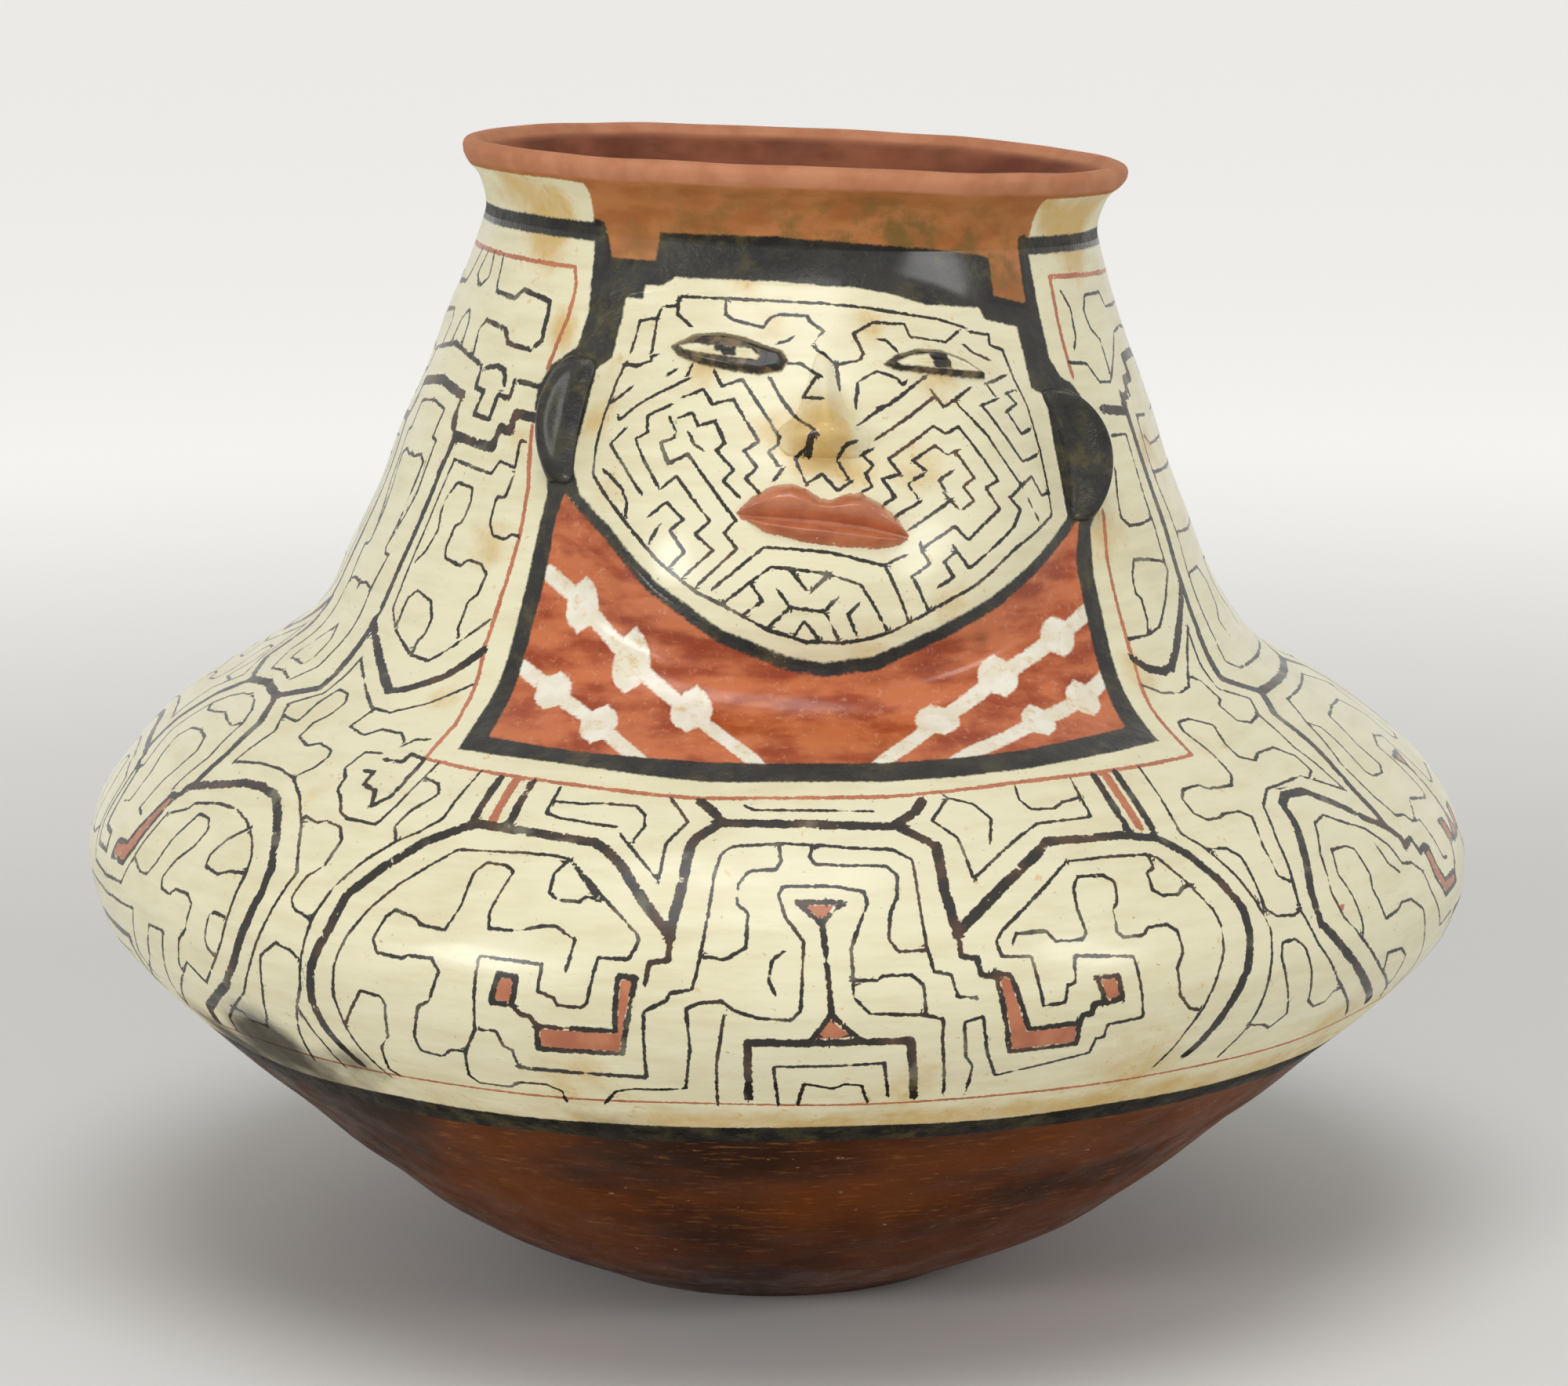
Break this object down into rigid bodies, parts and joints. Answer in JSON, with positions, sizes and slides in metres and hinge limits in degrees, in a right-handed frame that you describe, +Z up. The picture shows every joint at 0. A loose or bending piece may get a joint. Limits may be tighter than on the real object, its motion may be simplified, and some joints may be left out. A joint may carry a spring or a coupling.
{
  "type": "figural pot",
  "caption": "Coil-built earthenware jar with a wide low belly, a leaning flared neck and a modelled face, painted with dark brown and red geometric lines on cream slip.",
  "frame": {"origin": "centre of the flat base on the table, under the belly's middle", "axes": "+Z up through the mouth, the face looks along -Y, the neck leans slightly to +X"},
  "size_m": [0.36, 0.36, 0.2945],
  "materials": {
    "red_brown_clay": "glossy",
    "cream_slip": "satin",
    "bare_terracotta": "matte",
    "black_slip": "satin",
    "red_slip": "satin"
  },
  "bodies": {
    "root": {"base_disc": "red_brown_clay", "lower_wall": "red_brown_clay", "belly_wall": "cream_slip", "shoulder_wall": "cream_slip", "neck_wall": "cream_slip", "rim_coil": "bare_terracotta", "face_slab": "cream_slip", "left_ear": "black_slip", "right_ear": "black_slip", "nose": "cream_slip", "upper_lip": "red_slip", "lower_lip": "red_slip", "left_eye": "cream_slip", "right_eye": "cream_slip"}
  },
  "joints": []
}
